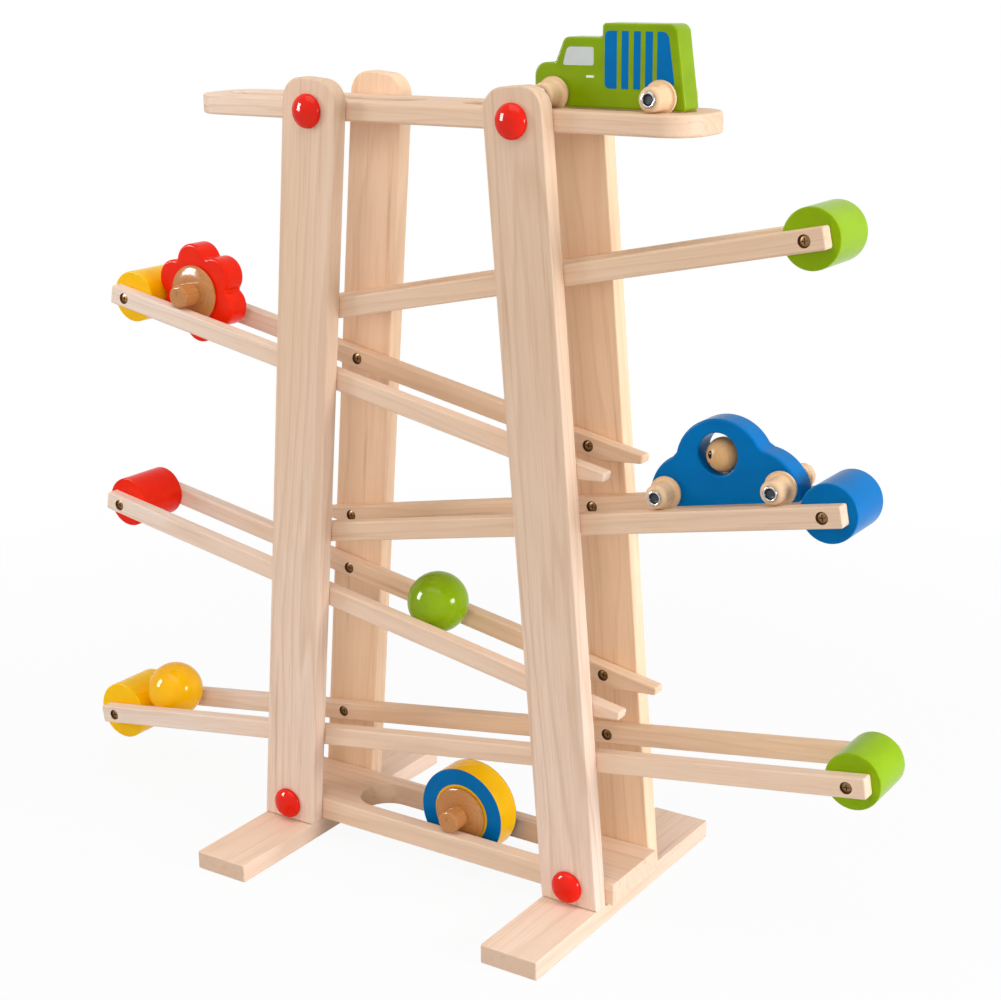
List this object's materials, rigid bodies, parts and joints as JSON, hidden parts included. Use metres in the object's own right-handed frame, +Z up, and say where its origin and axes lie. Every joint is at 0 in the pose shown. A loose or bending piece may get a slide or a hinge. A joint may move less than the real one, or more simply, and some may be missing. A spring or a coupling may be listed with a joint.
{
  "type": "wooden marble run",
  "caption": "Toy run of sloping wooden rail tracks on a leaning A-frame with painted end blocks, balls, hub rollers and small wheeled vehicles that roll down the tracks and along a top deck.",
  "frame": {"origin": "on the floor, under the middle of the stand", "axes": "+X along the run towards the truck and the car, +Y to the back, +Z up"},
  "size_m": [0.7028, 0.254, 0.627],
  "materials": {
    "pale_wood": "pale sanded softwood with a thin clear coat",
    "wheel_wood": "turned beech, clear coat",
    "waxed_wood": "turned beech, darker waxed finish",
    "red_paint": "satin gloss red paint on wood",
    "green_paint": "satin gloss green paint on wood",
    "yellow_paint": "satin gloss yellow paint on wood",
    "blue_paint": "satin gloss blue paint on wood",
    "bright_metal": "bright plated steel tube"
  },
  "bodies": {
    "stand": {"left_foot": "pale_wood", "right_foot": "pale_wood", "base_plank": "pale_wood", "top_deck": "pale_wood", "front_left_upright": "pale_wood", "rear_left_upright": "pale_wood", "front_right_upright": "pale_wood", "rear_right_upright": "pale_wood", "track1_front_rail": "pale_wood", "track1_rear_rail": "pale_wood", "track2_front_rail": "pale_wood", "track2_rear_rail": "pale_wood", "track3_front_rail": "pale_wood", "track3_rear_rail": "pale_wood", "track4_front_rail": "pale_wood", "track4_rear_rail": "pale_wood", "track5_front_rail": "pale_wood", "track5_rear_rail": "pale_wood", "track1_high_block": "green_paint", "track1_low_block": "yellow_paint", "track2_high_block": "red_paint", "track3_high_block": "blue_paint", "track4_high_block": "yellow_paint", "track5_high_block": "green_paint", "cap_lower_front_left": "red_paint", "cap_lower_rear_left": "red_paint", "cap_upper_front_left": "red_paint", "cap_upper_rear_left": "red_paint", "cap_lower_front_right": "red_paint", "cap_lower_rear_right": "red_paint", "cap_upper_front_right": "red_paint", "cap_upper_rear_right": "red_paint"},
    "truck": {"truck_body": "green_paint", "truck_front_axle": "bright_metal", "truck_rear_axle": "bright_metal"},
    "truck_front_near_wheel": {"truck_front_near_wheel": "wheel_wood"},
    "truck_front_far_wheel": {"truck_front_far_wheel": "wheel_wood"},
    "truck_rear_near_wheel": {"truck_rear_near_wheel": "wheel_wood"},
    "truck_rear_far_wheel": {"truck_rear_far_wheel": "wheel_wood"},
    "car": {"car_body": "blue_paint", "driver_head": "wheel_wood", "car_front_axle": "bright_metal", "car_rear_axle": "bright_metal"},
    "car_front_near_wheel": {"car_front_near_wheel": "wheel_wood"},
    "car_front_far_wheel": {"car_front_far_wheel": "wheel_wood"},
    "car_rear_near_wheel": {"car_rear_near_wheel": "wheel_wood"},
    "car_rear_far_wheel": {"car_rear_far_wheel": "wheel_wood"},
    "flower_carrier": {"flower_dowel": "pale_wood"},
    "flower_roller": {"flower_disc": "red_paint", "flower_near_hub": "waxed_wood", "flower_far_hub": "waxed_wood"},
    "disc_carrier": {"disc_dowel": "pale_wood"},
    "disc_roller": {"disc_disc": "yellow_paint", "disc_near_hub": "waxed_wood", "disc_far_hub": "waxed_wood"},
    "green_ball": {"green_ball": "green_paint"},
    "yellow_ball": {"yellow_ball": "yellow_paint"}
  },
  "joints": [
    {"name": "truck_travel", "type": "slide", "parent": "stand", "child": "truck", "axis": [1, 0, 0], "range_m": [-0.058, 0]},
    {"name": "truck_front_near_wheel_spin", "type": "hinge", "parent": "truck", "child": "truck_front_near_wheel", "pos_m": [0.0943, -0.0102, 0.5814], "axis": [0, 1, 0], "range_deg": [-405, 5]},
    {"name": "truck_front_far_wheel_spin", "type": "hinge", "parent": "truck", "child": "truck_front_far_wheel", "pos_m": [0.0943, 0.0102, 0.5814], "axis": [0, 1, 0], "range_deg": [-405, 5]},
    {"name": "truck_rear_near_wheel_spin", "type": "hinge", "parent": "truck", "child": "truck_rear_near_wheel", "pos_m": [0.174, -0.0102, 0.5814], "axis": [0, 1, 0], "range_deg": [-405, 5]},
    {"name": "truck_rear_far_wheel_spin", "type": "hinge", "parent": "truck", "child": "truck_rear_far_wheel", "pos_m": [0.174, 0.0102, 0.5814], "axis": [0, 1, 0], "range_deg": [-405, 5]},
    {"name": "car_travel", "type": "slide", "parent": "stand", "child": "car", "axis": [0.9824, 0, 0.1867], "range_m": [-0.31, 0.0045]},
    {"name": "car_front_near_wheel_spin", "type": "hinge", "parent": "car", "child": "car_front_near_wheel", "pos_m": [0.18326, -0.0102, 0.32226], "axis": [0, 1, 0], "range_deg": [-2144, 36]},
    {"name": "car_front_far_wheel_spin", "type": "hinge", "parent": "car", "child": "car_front_far_wheel", "pos_m": [0.18326, 0.0102, 0.32226], "axis": [0, 1, 0], "range_deg": [-2144, 36]},
    {"name": "car_rear_near_wheel_spin", "type": "hinge", "parent": "car", "child": "car_rear_near_wheel", "pos_m": [0.26676, -0.0102, 0.33813], "axis": [0, 1, 0], "range_deg": [-2144, 36]},
    {"name": "car_rear_far_wheel_spin", "type": "hinge", "parent": "car", "child": "car_rear_far_wheel", "pos_m": [0.26676, 0.0102, 0.33813], "axis": [0, 1, 0], "range_deg": [-2144, 36]},
    {"name": "flower_travel", "type": "slide", "parent": "stand", "child": "flower_carrier", "axis": [0.9811, 0, -0.1937], "range_m": [0, 0.33]},
    {"name": "flower_spin", "type": "hinge", "parent": "flower_carrier", "child": "flower_roller", "pos_m": [-0.23193, 0, 0.41886], "axis": [0, 1, 0], "range_deg": [-5, 2153]},
    {"name": "disc_travel", "type": "slide", "parent": "stand", "child": "disc_carrier", "axis": [1, 0, 0], "range_m": [-0.059, 0.051]},
    {"name": "disc_spin", "type": "hinge", "parent": "disc_carrier", "child": "disc_roller", "pos_m": [0.0126, 0, 0.0406], "axis": [0, 1, 0], "range_deg": [-389, 337]},
    {"name": "green_ball_run", "type": "slide", "parent": "stand", "child": "green_ball", "axis": [0.9843, 0, -0.1766], "range_m": [-0.25, 0.15]},
    {"name": "yellow_ball_run", "type": "slide", "parent": "stand", "child": "yellow_ball", "axis": [0.989, 0, 0.1482], "range_m": [0, 0.577]}
  ],
  "couplings": [
    {"joint": "truck_front_near_wheel_spin", "follows": "truck_travel", "rad_per_m": 120.48},
    {"joint": "truck_front_far_wheel_spin", "follows": "truck_travel", "rad_per_m": 120.48},
    {"joint": "truck_rear_near_wheel_spin", "follows": "truck_travel", "rad_per_m": 120.48},
    {"joint": "truck_rear_far_wheel_spin", "follows": "truck_travel", "rad_per_m": 120.48},
    {"joint": "car_front_near_wheel_spin", "follows": "car_travel", "rad_per_m": 120.48},
    {"joint": "car_front_far_wheel_spin", "follows": "car_travel", "rad_per_m": 120.48},
    {"joint": "car_rear_near_wheel_spin", "follows": "car_travel", "rad_per_m": 120.48},
    {"joint": "car_rear_far_wheel_spin", "follows": "car_travel", "rad_per_m": 120.48},
    {"joint": "flower_spin", "follows": "flower_travel", "rad_per_m": 113.64},
    {"joint": "disc_spin", "follows": "disc_travel", "rad_per_m": 113.64}
  ]
}
